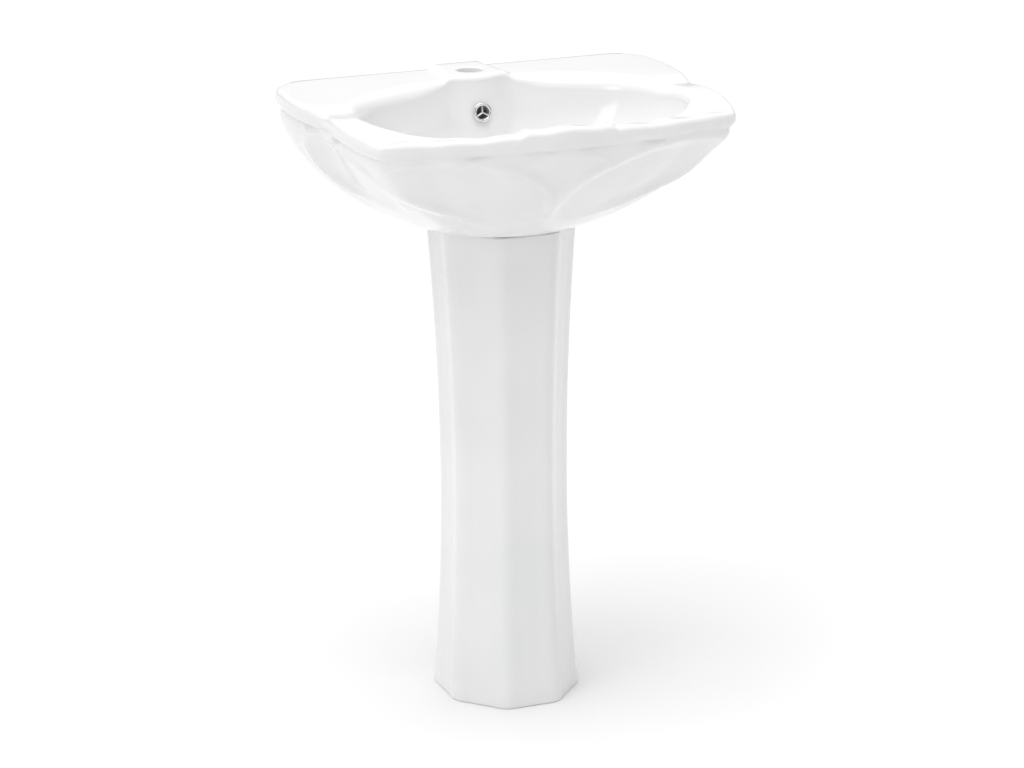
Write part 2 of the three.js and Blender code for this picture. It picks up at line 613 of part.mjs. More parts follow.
function trapCup(rim) {
  const { bottom, wall, footR, hipR, r, rimR, bore, thread, lip, hip, shoulder } = CUP;
  return turned([[0, bottom], [footR, bottom + PAST], [hipR, bottom + hip], [r, bottom + shoulder],
    [r, rim - thread], [rimR, rim - thread + lip], [rimR, rim], [bore, rim], [bore, bottom + shoulder + lip],
    [hipR - wall, bottom + hip + wall], [footR - lip, bottom + wall + PAST], [0, bottom + wall]]);
}

function addTrap() {
  addTrapInlet();
  addPiece("trap_body", trapBody(), whitePlastic);
  const sealTop = TRAP.bottom - GAP;
  const sealBottom = sealTop - CUP_SEAL.thick;
  addPiece("trap_cup_seal", onDrain(ring(CUP_SEAL.bore, CUP_SEAL.r, sealBottom, sealTop)), rubber);
  addPiece("trap_cup", onDrain(trapCup(sealBottom - GAP)), whitePlastic);

  const end = TRAP.spigot - OUTLET_NUT.lip + PAST;
  const nutBack = end - OUTLET_NUT.below;
  const nut = collar(OUTLET_NUT, nutBack);
  addPiece("trap_outlet_nut", fromWall(nut, 0, TRAP_OUTLET_Z), whitePlastic);
  const seal = ring(PIPE_R + GAP, OUTLET_NUT.bore - GAP, nutBack + OUTLET_NUT.lip + SLIP, end + PIPE_LAP);
  addPiece("trap_outlet_seal", fromWall(seal, 0, TRAP_OUTLET_Z), rubber);
  const pipe = ring(PIPE_BORE, PIPE_R, 0, end + PIPE_LAP);
  addPiece("outlet_pipe", fromWall(pipe, 0, TRAP_OUTLET_Z), whitePlastic);
  const { r, edge, browR, brow, crownR, thick } = ROSETTE;
  const rosette = turned([[PIPE_R + SLIP, 0], [r, 0], [r, edge], [browR, brow], [crownR, thick],
    [PIPE_R + SLIP, thick]], FINE);
  addPiece("wall_flange", fromWall(rosette, 0, TRAP_OUTLET_Z), chrome);
}

addPiece("basin", basinBody(), glazed);
addPiece("pedestal", pedestalBody(), glazed);
addPiece("pedestal_cushion", cushionBody(), rubber);
addOverflow();
addWaste();
addPlug();
addTrap();
addBracket("left", -1);
addBracket("right", 1);

export default sink;
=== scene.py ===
"""Looks for the pedestal sink: glazed basin and pedestal, chrome waste and overflow, trap and fixings.

Shapes are worked out in millimetres as [x, reach, z], where reach is the distance forward from the wall,
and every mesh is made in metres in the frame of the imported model.
"""
import json
import math

import bmesh
import bpy
import numpy as np
from mathutils import Matrix, Vector


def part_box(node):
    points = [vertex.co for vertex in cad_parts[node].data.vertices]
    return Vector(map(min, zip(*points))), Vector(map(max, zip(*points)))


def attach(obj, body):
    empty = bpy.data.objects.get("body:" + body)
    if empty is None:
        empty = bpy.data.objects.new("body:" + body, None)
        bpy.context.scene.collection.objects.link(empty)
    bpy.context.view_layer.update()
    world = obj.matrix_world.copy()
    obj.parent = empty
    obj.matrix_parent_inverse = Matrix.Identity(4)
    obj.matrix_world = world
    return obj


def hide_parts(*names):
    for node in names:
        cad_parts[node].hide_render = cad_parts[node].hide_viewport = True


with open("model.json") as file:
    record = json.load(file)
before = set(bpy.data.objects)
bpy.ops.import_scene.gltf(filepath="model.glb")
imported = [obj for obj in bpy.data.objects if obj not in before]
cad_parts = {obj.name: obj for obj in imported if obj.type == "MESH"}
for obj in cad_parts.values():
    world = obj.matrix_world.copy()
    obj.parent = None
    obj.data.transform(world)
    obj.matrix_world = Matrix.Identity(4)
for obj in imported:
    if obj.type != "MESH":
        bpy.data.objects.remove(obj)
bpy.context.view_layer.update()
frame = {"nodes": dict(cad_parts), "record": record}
MM = 0.001


def low_of(node):
    return np.array(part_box(node)[0]) / MM


def high_of(node):
    return np.array(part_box(node)[1]) / MM


# ---------- driving dimensions, in millimetres ----------

WALL_Y = high_of("basin")[1]
DEPTH = 2 * WALL_Y
TAP_RISE = 6
DECK_Z = high_of("basin")[2] - TAP_RISE
FRONT_DIP = 5
DIP_SPAN = (240, 400)
BACK_SPAN = (0, 140)
ROUNDNESS_SPAN = (60, 380)
WALL = 12
AROUND = 560

RIM_CUSPS = [[38, 407], [124, 398], [184, 386], [242, 374], [254, 205], [268, 56], [224, 0]]
RIM_BULGES = [3, 4, 3, 11, 8, 15]
RIM_CENTRE = np.array([0.0, 205.0])
RIM_HALF = 254
CENTRE_BULGE = 3
CUSP_SOFTNESS = 6.5
SIDE_NOTCH = {"softness": 17, "width": 60}

BOWL_CORNERS = [[100, 377], [206, 300], [170, 146], [40, 80]]
BOWL_BULGES = [18, 22, 5]
BOWL_FRONT_BULGE = 6
DECK_FRONT_BULGE = -12
BOWL_SOFTNESS = 9
BOWL_FLOOR_Z = low_of("bowl_seal")[2] - 0.3
BOWL_ROUNDNESS = 2.5
BOWL_SLOPE = 0.15
BOWL_SKIN = 15
BOWL_LIP = {"front": 9, "back": 24}
DRAIN = np.array([0.0, 190.0])
DRAIN_SEAT_R = 33

BEAD = {"inset": 8, "height": 9, "bottom": 22, "tuck": 4.2}
GROOVE = {"depth": 2.4, "drop": 24.5, "width": 5.5, "sag": 4}
TUCK_SHARE = 0.026
CEILING_SHARE = 0.01
BACK_ROUNDNESS = 1.8
FRONT_ROUNDNESS = 1.25
BOSS = {"centre": np.array([0.0, 188.0]), "radii": (103, 86), "z": low_of("basin")[2]}
BACK_PANEL_BOTTOM = 735
BACK_OPENING = {"half": 150, "front": 30, "rise": 20}
NECK = {"radii": (80, 87), "bottom": 640, "top": 688}

VALLEY = {"depth": 3.2, "width": 24, "run": 0.7}
FAN = {"back": (28, 9), "front": (40, 100), "ramp": 14}

TAP = {"reach": 52, "r": 17.5, "edge": 3}
BOLT = {"x": 140, "z": 772, "r": 7, "edge": 1.5}
OVERFLOW = {"reach": 99, "z": 781, "tilt": 10, "r": 10.4, "spot": 13.4}
DUCT = {"half": 27, "channel": 15, "lap": 8, "thick": 30, "skin": 9, "top": 18, "knee": 735, "foot": 10}
WASTE_BORE_R = 23
DRAIN_BOSS = {"r": 38, "bottom": high_of("waste_lower_seal")[2] + 0.3}

PEDESTAL_CENTRE = np.array([0.0, 162.0])
PEDESTAL_TOP = high_of("pedestal")[2]
PEDESTAL_WAIST = 300
PEDESTAL_RADII = {"foot": (93, 103), "waist": (80, 90), "top": (94, 103)}
FLUTES = 8
FLUTE_DEPTH = 3.2
PEDESTAL_EDGE = 2.5
PEDESTAL_OPEN_REACH = 104


# ---------- small maths ----------

def smooth(x, low, high):
    t = np.clip((np.asarray(x, float) - low) / (high - low), 0, 1)
    return t * t * (3 - 2 * t)


def hump(distance, width):
    return np.exp(-((np.asarray(distance, float) / width) ** 2))


def arc(a, b, bulge, steps=40):
    """An arc from a towards b, without b, bulging to the right of the way from a to b."""
    a, b = np.array(a, float), np.array(b, float)
    way = b - a
    out = np.array([way[1], -way[0]]) / np.hypot(*way)
    t = np.arange(steps)[:, None] / steps
    return a + way * t + out * 4 * bulge * t * (1 - t)


def mirrored_outline(corners, bulges, back_bulge, front_bulge):
    """A closed outline, symmetric about x = 0, from its right-hand corners, front to back."""
    flip = np.array([-1, 1])
    right = np.vstack([arc(a, b, -k) for a, b, k in zip(corners, corners[1:], bulges)])
    last, first = np.array(corners[-1], float), np.array(corners[0], float)
    left = np.vstack([right[1:], last])[::-1] * flip
    back = arc(last, last * flip, -back_bulge)
    front = arc(first * flip, first, -front_bulge)
    return np.vstack([right, back, left, front])


def along(points):
    """The length along a closed outline at each of its points, and its whole length."""
    steps = np.linalg.norm(np.roll(points, -1, 0) - points, axis=1)
    return np.concatenate([[0], np.cumsum(steps)[:-1]]), steps.sum()


def resampled(points, count, softness):
    """The closed outline at even steps, its corners rounded by a Gaussian of the given width."""
    at, total = along(points)
    even = np.arange(count) / count * total
    closed = np.vstack([points, points[:1]])
    fine = np.stack([np.interp(even, np.append(at, total), closed[:, k]) for k in range(2)], 1)
    waves = np.fft.fftfreq(count, total / count)
    gaussian = np.exp(-2 * (math.pi * waves * softness) ** 2)
    return np.fft.ifft(np.fft.fft(fine, axis=0) * gaussian[:, None], axis=0).real


def rim_plan():
    """The rim, its front cusps crisp and the notch halfway along each side soft."""
    corners = mirrored_outline(RIM_CUSPS, RIM_BULGES, 0, CENTRE_BULGE)
    crisp = resampled(corners, AROUND, CUSP_SOFTNESS)
    soft = resampled(corners, AROUND, SIDE_NOTCH["softness"])
    notch = np.array(RIM_CUSPS[4], float)
    away = np.hypot(np.abs(crisp[:, 0]) - notch[0], crisp[:, 1] - notch[1])
    return crisp + (soft - crisp) * hump(away, SIDE_NOTCH["width"])[:, None]


RIM = rim_plan()
BOWL_EDGE = resampled(
    mirrored_outline(BOWL_CORNERS, BOWL_BULGES, DECK_FRONT_BULGE, BOWL_FRONT_BULGE), AROUND, BOWL_SOFTNESS)


def bearings(points, centre):
    return np.arctan2(points[:, 1] - centre[1], points[:, 0] - centre[0])


def facing(outline, directions, centre):
    """The points of a star-shaped outline that lie in the given directions from its centre."""
    angle = bearings(outline, centre)
    order = np.argsort(angle)
    angle, ranked = angle[order], outline[order]
    wide = np.concatenate([angle - 2 * math.pi, angle, angle + 2 * math.pi])
    return np.stack([np.interp(directions, wide, np.tile(ranked[:, k], 3)) for k in range(2)], 1)


DECK_CENTRE = np.array([0.0, 225.0])
BOWL = facing(BOWL_EDGE, bearings(RIM, DECK_CENTRE), DECK_CENTRE)


def moved(points, inset, centre=RIM_CENTRE):
    """Points drawn in towards the centre by a length."""
    away = points - centre
    length = np.linalg.norm(away, axis=1, keepdims=True)
    return centre + away * (1 - np.reshape(inset, (-1, 1)) / length)


def bowl_lip():
    """The radius of the bowl's rolled edge: small in front and by the tap, wide at the back and the sides."""
    wide = (1 - smooth(BOWL[:, 1], 130, 330)) * smooth(np.abs(BOWL[:, 0]), 34, 100)
    return BOWL_LIP["front"] + (BOWL_LIP["back"] - BOWL_LIP["front"]) * wide


def ellipse_facing(points, centre, radii):
    angle = np.arctan2((points[:, 1] - RIM_CENTRE[1]) / DEPTH, points[:, 0] / (2 * RIM_HALF))
    return np.stack([centre[0] + radii[0] * np.cos(angle), centre[1] + radii[1] * np.sin(angle)], 1)


def ellipse(centre, radii, steps):
    angle = np.arange(steps) / steps * 2 * math.pi
    return np.stack([centre[0] + radii[0] * np.cos(angle), centre[1] + radii[1] * np.sin(angle)], 1)


def at_height(points, z):
    return np.column_stack([points, np.broadcast_to(z, len(points))])


# ---------- meshes ----------

def to_frame(points):
    """[x, reach, z] in millimetres as x, y, z in metres."""
    points = np.asarray(points, float)
    return np.column_stack([points[:, 0], WALL_Y - points[:, 1], points[:, 2]]) * MM


def mesh_object(name, vertices, faces):
    mesh = bpy.data.meshes.new(name)
    mesh.from_pydata([tuple(v) for v in vertices], [], faces)
    made = bmesh.new()
    made.from_mesh(mesh)
    bmesh.ops.remove_doubles(made, verts=made.verts, dist=1e-7)
    bmesh.ops.recalc_face_normals(made, faces=made.faces)
    made.to_mesh(mesh)
    made.free()
    piece = bpy.data.objects.new(name, mesh)
    bpy.context.scene.collection.objects.link(piece)
    return piece


def loft(name, rings):
    """A closed body through rings of [x, reach, z] points, each end closed by a fan."""
    count = len(rings[0])
    points = np.vstack([*rings, rings[0].mean(0), rings[-1].mean(0)])
    last = (len(rings) - 1) * count
    first_middle, last_middle = len(points) - 2, len(points) - 1
    faces = []
    for i in range(count):
        j = (i + 1) % count
        for base in range(0, last, count):
            faces.append((base + i, base + j, base + count + j, base + count + i))
        faces.append((first_middle, j, i))
        faces.append((last_middle, last + i, last + j))
    return mesh_object(name, to_frame(points), faces)


def column(name, outline, heights):
    return loft(name, [at_height(outline, z) for z in heights])


def block(name, half, reaches, heights):
    """A box across the middle of the sink, between two reaches and two heights."""
    near, far = reaches
    return column(name, np.array([[-half, near], [half, near], [half, far], [-half, far]], float), heights)


def prism(name, outline, half_width):
    """A [reach, z] outline extruded across the middle of the sink."""
    count = len(outline)
    points = [[x, *corner] for x in (-half_width, half_width) for corner in outline]
    faces = [tuple(range(count)), tuple(range(2 * count - 1, count - 1, -1))]
    faces += [(i, (i + 1) % count, (i + 1) % count + count, i + count) for i in range(count)]
    return mesh_object(name, to_frame(np.array(points, float)), faces)


def rounded(profile, radius, steps=5):
    """A closed [r, z] profile with each corner that is off the axis rounded."""
    points = np.array(profile, float)
    result = []
    for i, corner in enumerate(points):
        before, after = points[i - 1], points[(i + 1) % len(points)]
        if corner[0] < 1e-6:
            result.append(corner)
            continue
        to_before, to_after = before - corner, after - corner
        reach = min(radius, 0.45 * np.linalg.norm(to_before), 0.45 * np.linalg.norm(to_after))
        start = corner + to_before / np.linalg.norm(to_before) * reach
        end = corner + to_after / np.linalg.norm(to_after) * reach
        for t in np.linspace(0, 1, steps):
            result.append((1 - t) ** 2 * start + 2 * t * (1 - t) * corner + t ** 2 * end)
    return result


def turned(name, profile, segments=96, radius_at=None):
    """A body of revolution about Z at the origin, in metres. radius_at can wave the radius round the axis."""
    profile = np.array(profile, float)
    angles = np.arange(segments) / segments * 2 * math.pi
    vertices, faces = [], []
    for angle in angles:
        for r, z in profile:
            wide = r if radius_at is None else radius_at(r, z, angle)
            vertices.append((wide * math.cos(angle) * MM, wide * math.sin(angle) * MM, z * MM))
    count = len(profile)
    for s in range(segments):
        base, following = s * count, (s + 1) % segments * count
        for i in range(count):
            j = (i + 1) % count
            ring = (base + i, following + i, following + j, base + j)
            if profile[i][0] < 1e-6 and profile[j][0] < 1e-6:
                continue
            faces.append(ring)
    return mesh_object(name, vertices, faces)


def disc(name, r, bottom, top):
    """A plain round bar between two heights."""
    return turned(name, [[0, bottom], [r, bottom], [r, top], [0, top]])


def place(piece, x, reach, z=0, tilt=0):
    """Turns a piece about X by tilt degrees and moves it, both into its mesh."""
    turn = Matrix.Rotation(math.radians(tilt), 4, "X")
    piece.data.transform(Matrix.Translation((x * MM, (WALL_Y - reach) * MM, z * MM)) @ turn)
    return piece


def settled(piece):
    """Bakes a piece's modifiers into its mesh."""
    graph = bpy.context.evaluated_depsgraph_get()
    mesh = bpy.data.meshes.new_from_object(piece.evaluated_get(graph))
    piece.modifiers.clear()
    piece.data = mesh
    return piece


def combine(piece, operation, *tools):
    for tool in tools:
        step = piece.modifiers.new("combine", "BOOLEAN")
        step.solver = "MANIFOLD"
        step.operation = operation
        step.object = tool
        settled(piece)
        bpy.data.objects.remove(tool)
    return piece


def shade(piece, angle=32):
    piece.data.shade_smooth()
    piece.data.set_sharp_from_angle(angle=math.radians(angle))
    return piece


# ---------- materials ----------

def material(name, **constants):
    """A Principled material with its constant sockets set, and a helper to wire nodes into it."""
    made = bpy.data.materials.new(name)
    made.use_nodes = True
    shader = made.node_tree.nodes["Principled BSDF"]
    for socket, value in constants.items():
        shader.inputs[socket.replace("_", " ")].default_value = value
    return made, shader


def node(made, kind, **settings):
    new = made.node_tree.nodes.new(kind)
    for key, value in settings.items():
        if key in new.inputs:
            new.inputs[key].default_value = value
        else:
            setattr(new, key, value)
    return new


def wire(made, source, output, target, socket):
    made.node_tree.links.new(source.outputs[output], target.inputs[socket])


def noise(made, scale, detail=3.0):
    where = node(made, "ShaderNodeTexCoord")
    cloud = node(made, "ShaderNodeTexNoise", Scale=scale, Detail=detail)
    wire(made, where, "Object", cloud, "Vector")
    return cloud


def ramp(made, source, output, low, high, start=0.35, end=0.65):
    """A colour ramp between two colours or greys."""
    shades = node(made, "ShaderNodeValToRGB")
    for element, place_on, colour in zip(shades.color_ramp.elements, (start, end), (low, high)):
        element.position = place_on
        element.color = (*colour, 1) if hasattr(colour, "__len__") else (colour, colour, colour, 1)
    wire(made, source, output, shades, "Fac")
    return shades


def bumps(made, shader, layers):
    """Adds height layers of (source, output, strength, distance) to the shader's normal."""
    before = None
    for source, output, strength, distance in layers:
        bump = node(made, "ShaderNodeBump", Strength=strength, Distance=distance)
        wire(made, source, output, bump, "Height")
        if before is not None:
            wire(made, before, "Normal", bump, "Normal")
        before = bump
    wire(made, before, "Normal", shader, "Normal")


def glazed_ceramic():
    """White vitreous glaze: nearly even, with slow thickness changes, a faint ripple and fine orange peel."""
    made, shader = material("glazed_ceramic", IOR=1.54, Coat_Weight=0.35, Coat_Roughness=0.03, Coat_IOR=1.5)
    pooling = ramp(made, noise(made, 7.0, 2.0), "Fac", (0.785, 0.789, 0.789), (0.820, 0.821, 0.817))
    wire(made, pooling, "Color", shader, "Base Color")
    polish = noise(made, 26.0, 4.0)
    wire(made, ramp(made, polish, "Fac", 0.07, 0.14, 0.3, 0.75), "Color", shader, "Roughness")
    bumps(made, shader, [
        (noise(made, 30.0, 1.0), "Fac", 0.12, 0.0012),
        (noise(made, 420.0, 2.0), "Fac", 0.05, 0.0003),
    ])
    return made


def chrome():
    made, shader = material("chrome", Metallic=1.0)
    film = noise(made, 60.0, 3.0)
    wire(made, ramp(made, film, "Fac", (0.70, 0.71, 0.73), (0.80, 0.80, 0.81)), "Color", shader, "Base Color")
    smear = noise(made, 180.0, 5.0)
    wire(made, ramp(made, smear, "Fac", 0.05, 0.16, 0.35, 0.8), "Color", shader, "Roughness")
    bumps(made, shader, [(noise(made, 900.0, 2.0), "Fac", 0.04, 0.0002)])
    return made


def moulded(name, dark, light, roughness, grain):
    """Moulded plastic: fine sparked grain, faint flow marks and a slightly uneven sheen."""
    made, shader = material(name, IOR=1.46)
    flow = noise(made, 14.0, 4.0)
    wire(made, ramp(made, flow, "Fac", dark, light), "Color", shader, "Base Color")
    sheen = ramp(made, noise(made, 90.0, 3.0), "Fac", roughness, roughness + 0.14)
    wire(made, sheen, "Color", shader, "Roughness")
    bumps(made, shader, [(noise(made, grain, 2.0), "Fac", 0.12, 0.0003)])
    return made


def black_rubber():
    made, shader = material("black_rubber", IOR=1.5)
    bloom = noise(made, 40.0, 5.0)
    black = ramp(made, bloom, "Fac", (0.016, 0.016, 0.017), (0.045, 0.044, 0.043))
    wire(made, black, "Color", shader, "Base Color")
    wire(made, ramp(made, bloom, "Fac", 0.55, 0.8), "Color", shader, "Roughness")
    bumps(made, shader, [(noise(made, 700.0, 3.0), "Fac", 0.2, 0.0003)])
    return made


def zinc_steel():
    """Zinc plate: small crystal spangles over a slightly brushed surface."""
    made, shader = material("zinc_steel", Metallic=1.0)
    where = node(made, "ShaderNodeTexCoord")
    spangle = node(made, "ShaderNodeTexVoronoi", Scale=260.0)
    wire(made, where, "Object", spangle, "Vector")
    wire(made, ramp(made, spangle, "Distance", (0.46, 0.48, 0.50), (0.66, 0.67, 0.68), 0.1, 0.6), "Color",
         shader, "Base Color")
    wire(made, ramp(made, noise(made, 120.0, 4.0), "Fac", 0.28, 0.45), "Color", shader, "Roughness")
    bumps(made, shader, [(spangle, "Distance", 0.08, 0.0002)])
    return made


MATERIALS = {
    "glazed_ceramic": glazed_ceramic(),
    "chrome": chrome(),
    "black_rubber": black_rubber(),
    "grey_plastic": moulded("grey_plastic", (0.30, 0.31, 0.32), (0.36, 0.37, 0.38), 0.38, 850.0),
    "white_plastic": moulded("white_plastic", (0.74, 0.75, 0.74), (0.80, 0.80, 0.79), 0.32, 700.0),
    "zinc_steel": zinc_steel(),
}


def finished(piece, slot, body, *nodes):
    """Gives a piece its material, its body, and the CAD nodes it stands for."""
    piece.data.materials.clear()
    piece.data.materials.append(MATERIALS[slot])
    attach(piece, body)
    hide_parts(*nodes)
    return piece


# ---------- basin ----------

def segment_distance(points, a, b):
    a, b = np.array(a, float), np.array(b, float)
    way = b - a
    t = np.clip(((points - a) @ way) / (way @ way), 0, 1)
    return np.linalg.norm(points - (a + t[:, None] * way), axis=1)


def fan_mask(points):
    """1 on the raised fan round the tap hole, falling to 0 across its ramp."""
    (back_half, back), (front_half, front) = FAN["back"], FAN["front"]
    share = (points[:, 1] - back) / (front - back)
    half = back_half + (front_half - back_half) * np.clip(share, 0, 2)
    sides = smooth(half + FAN["ramp"] - np.abs(points[:, 0]), 0, FAN["ramp"])
    return sides * smooth(points[:, 1], back - FAN["ramp"], back)


def deck_height(points):
    """The top of the basin: lobes with a soft valley running in from each cusp, and the fan for the tap."""
    z = DECK_Z - FRONT_DIP * smooth(points[:, 1], *DIP_SPAN) + TAP_RISE * fan_mask(points)
    cusps = RIM_CUSPS[:5]
    cusps += [[-x, reach] for x, reach in cusps]
    ends = facing(BOWL_EDGE, bearings(np.array(cusps, float), DECK_CENTRE), DECK_CENTRE)
    for cusp, end in zip(np.array(cusps, float), ends):
        stop = cusp + (end - cusp) * VALLEY["run"]
        z = z - VALLEY["depth"] * hump(segment_distance(points, cusp, stop), VALLEY["width"])
    return z


def outside_ring(share, drop, inset=0.0, outline=RIM):
    """A ring of the outside: share says how far each point has closed from the rim (0) to the boss (1)."""
    z = DECK_Z - drop
    boss = ellipse_facing(outline, BOSS["centre"], BOSS["radii"])
    back_share = 1 - smooth(z, BOSS["z"], BACK_PANEL_BOTTOM)
    free = smooth(outline[:, 1], *BACK_SPAN)
    share = np.broadcast_to(share, len(outline))
    reach_share = np.minimum(share, back_share) * (1 - free) + share * free
    plan = outline + (boss - outline) * np.column_stack([share, reach_share])
    plan = moved(plan, inset)
    plan[:, 1] = np.maximum(plan[:, 1], np.max(inset))
    dip = FRONT_DIP * smooth(outline[:, 1], *DIP_SPAN) * (1 - share)
    return at_height(plan, 0) + np.column_stack([np.zeros((len(outline), 2)), z - dip])


def lower_share(outline, part):
    forward = smooth(outline[:, 1], *ROUNDNESS_SPAN)
    roundness = BACK_ROUNDNESS + (FRONT_ROUNDNESS - BACK_ROUNDNESS) * forward
    return TUCK_SHARE + (1 - TUCK_SHARE) * (1 - (1 - part ** roundness) ** (1 / roundness))


def lower_rings(inset, outline, lowest, levels):
    rings = []
    for level in range(1, levels + 1):
        part = math.sin(level / levels * math.pi / 2)
        drop = BEAD["bottom"] + part * (DECK_Z - BOSS["z"] - BEAD["bottom"])
        if DECK_Z - drop >= lowest - 1e-6:
            rings.append(outside_ring(lower_share(outline, part), drop, inset, outline))
    return rings


def bead_rings():
    """The rolled rim, from its lowest ring up to where it meets the deck."""
    rings = []
    under = BEAD["bottom"] - BEAD["height"]
    for t in np.linspace(1, 0, 9)[:-1]:
        plan = moved(RIM, BEAD["tuck"] * t ** 2 * free_of_wall())
        rings.append([plan, BEAD["height"] + under * t])
    for angle in np.linspace(math.pi / 2, 0, 9):
        plan = moved(RIM, BEAD["inset"] * (1 - math.sin(angle)) * free_of_wall(0.3))
        rings.append([plan, BEAD["height"] * (1 - math.cos(angle))])
    sag = deck_height(moved(RIM, BEAD["inset"])) - DECK_Z
    made = []
    for plan, drop in rings:
        follow = 1 - smooth(drop, BEAD["height"], BEAD["bottom"])
        dip = -FRONT_DIP * smooth(RIM[:, 1], *DIP_SPAN)
        made.append(np.column_stack([plan, DECK_Z - drop + sag * follow + dip * (1 - follow)]))
    return made


def free_of_wall(least=0.0):
    """Near 0 along the back edge, which stays flat against the wall, and 1 everywhere else."""
    return np.maximum(smooth(RIM[:, 1], 0, 12), least)


def deck_rings(levels=16):
    """From the inner side of the bead across the deck to the rolled edge of the bowl."""
    outer = moved(RIM, BEAD["inset"] * free_of_wall(0.3))
    inner = moved(BOWL, -bowl_lip())
    rings = []
    for t in np.linspace(0, 1, levels)[1:]:
        plan = outer + (inner - outer) * t
        rings.append(np.column_stack([plan, deck_height(plan)]))
    return rings


def bowl_share(part):
    """How far the bowl has closed on the drain at a part of its depth: a slope, then a rounded floor."""
    curve = 1 - (1 - part ** BOWL_ROUNDNESS) ** (1 / BOWL_ROUNDNESS)
    return BOWL_SLOPE * part + (1 - BOWL_SLOPE) * curve


def bowl_rings(levels=46):
    """From the rolled edge down the bowl's wall to the seat round the drain."""
    rings = []
    lip = bowl_lip()
    for angle in np.linspace(0, math.pi / 2, 13)[1:]:
        plan = moved(BOWL, -lip * (1 - math.sin(angle)))
        rings.append(np.column_stack([plan, deck_height(plan) - lip * (1 - math.cos(angle))]))
    drain = ellipse_facing(BOWL, DRAIN, (DRAIN_SEAT_R, DRAIN_SEAT_R))
    top = deck_height(BOWL) - lip
    for level in range(1, levels + 1):
        part = math.sin(level / levels * math.pi / 2)
        plan = BOWL + (drain - BOWL) * bowl_share(part)
        rings.append(np.column_stack([plan, top + (BOWL_FLOOR_Z - top) * part]))
    rings.append(at_height(DRAIN + (drain - DRAIN) * 0.5, BOWL_FLOOR_Z))
    return rings


def grid_normals(rings):
    """Outward normals of stacked rings, listed from the bottom up."""
    grid = np.array(rings)
    around = np.roll(grid, -1, 1) - np.roll(grid, 1, 1)
    up = np.gradient(grid, axis=0)
    normal = np.cross(around, up)
    normal /= np.maximum(np.linalg.norm(normal, axis=2, keepdims=True), 1e-9)
    outward = grid[..., :2] - RIM_CENTRE
    side = np.sign((normal[..., :2] * outward).sum(2).mean())
    return normal * side


# Raised ovals under the rim on the right half, mirrored on the left. The middle and half sizes are
# (bearing from the front in degrees, height), and lean is the bearing gained from middle to top.
OVALS = [
    {"middle": (28, 732), "half": (24, 60), "lean": 14},
    {"middle": (79, 745), "half": (21, 50), "lean": 6},
]
OVAL_BORDER = {"height": 3.6, "width": 0.125}
OVAL_RECESS = 3.2
ARCH = {"half": 19, "top": 789, "sag": 20, "height": 2.2, "width": 5}


def oval_relief(rings):
    """The height of the oval panels' raised borders and sunken fields over the outside."""
    grid = np.array(rings)
    forward = grid[..., 1] - BOSS["centre"][1]
    bearing = np.degrees(np.arctan2(np.abs(grid[..., 0]), forward))
    relief = np.zeros(grid.shape[:2])
    for oval in OVALS:
        (middle, height), (half, tall) = oval["middle"], oval["half"]
        v = (grid[..., 2] - height) / tall
        u = (bearing - middle - oval["lean"] * v) / half
        away = np.hypot(u, v)
        border = OVAL_BORDER["height"] * hump(away - 1, OVAL_BORDER["width"])
        relief += border * smooth(v, -0.95, -0.45)
        relief -= OVAL_RECESS * smooth(1 - away, 0.0, 0.4) * smooth(v, -1.0, -0.5)
    across = bearing / ARCH["half"]
    arch = hump(grid[..., 2] - ARCH["top"] + ARCH["sag"] * across ** 2, ARCH["width"])
    return relief + ARCH["height"] * arch * smooth(1.2 - across, 0, 0.5)


def near_cusps(points):
    """1 at the rim's cusps, falling to 0 within a few centimetres."""
    cusps = np.array(RIM_CUSPS[:5], float)
    both = np.vstack([cusps, cusps * [-1, 1]])
    away = np.linalg.norm(points[:, None] - both[None], axis=2).min(axis=1)
    return hump(away, 28)


def outside_rings(levels=72):
    lower = lower_rings(0.0, RIM, BOSS["z"], levels)[::-1]
    grid = np.array(lower)
    sink_at_cusps = GROOVE["sag"] * near_cusps(RIM)
    groove = GROOVE["depth"] * hump(DECK_Z - grid[..., 2] - GROOVE["drop"] - sink_at_cusps, GROOVE["width"])
    in_front = smooth(grid[..., 1], 6, 40)
    normal = grid_normals(lower)
    grid = grid + normal * ((oval_relief(lower) - groove) * in_front)[..., None]
    return list(grid)


def basin_solid():
    bottom = outside_rings()
    rings = [*bottom, *bead_rings(), *deck_rings(), *bowl_rings()]
    return loft("basin_glazed", rings)


def bowl_jacket(skin):
    """The solid that stands round the bowl's space inside the casting."""
    drain = ellipse_facing(BOWL, DRAIN, (DRAIN_SEAT_R, DRAIN_SEAT_R))
    levels = 14
    rings = [at_height(moved(BOWL, -skin), DECK_Z + 2 * WALL)]
    for level in range(levels + 1):
        part = math.sin(level / levels * math.pi / 2)
        plan = moved(BOWL + (drain - BOWL) * bowl_share(part), -skin)
        rings.append(at_height(plan, DECK_Z - skin - part * (DECK_Z - BOWL_FLOOR_Z)))
    return loft("bowl_jacket", [ring[::4] for ring in rings])


def duct_outline(top, skin):
    """The duct behind the bowl that carries the overflow down to the waste."""
    front, behind = OVERFLOW["reach"] - DUCT["lap"], OVERFLOW["reach"] - DUCT["thick"] - skin
    knee, foot = DUCT["knee"], DRAIN_BOSS["bottom"] + DUCT["foot"]
    return [[front - skin, top], [behind, top], [behind, knee], [behind + 20, foot - skin],
            [DRAIN[1], foot - skin], [DRAIN[1], foot + 9 + skin],
            [front + 30 + skin, knee - 35 + skin], [front + 6, knee + 5]]


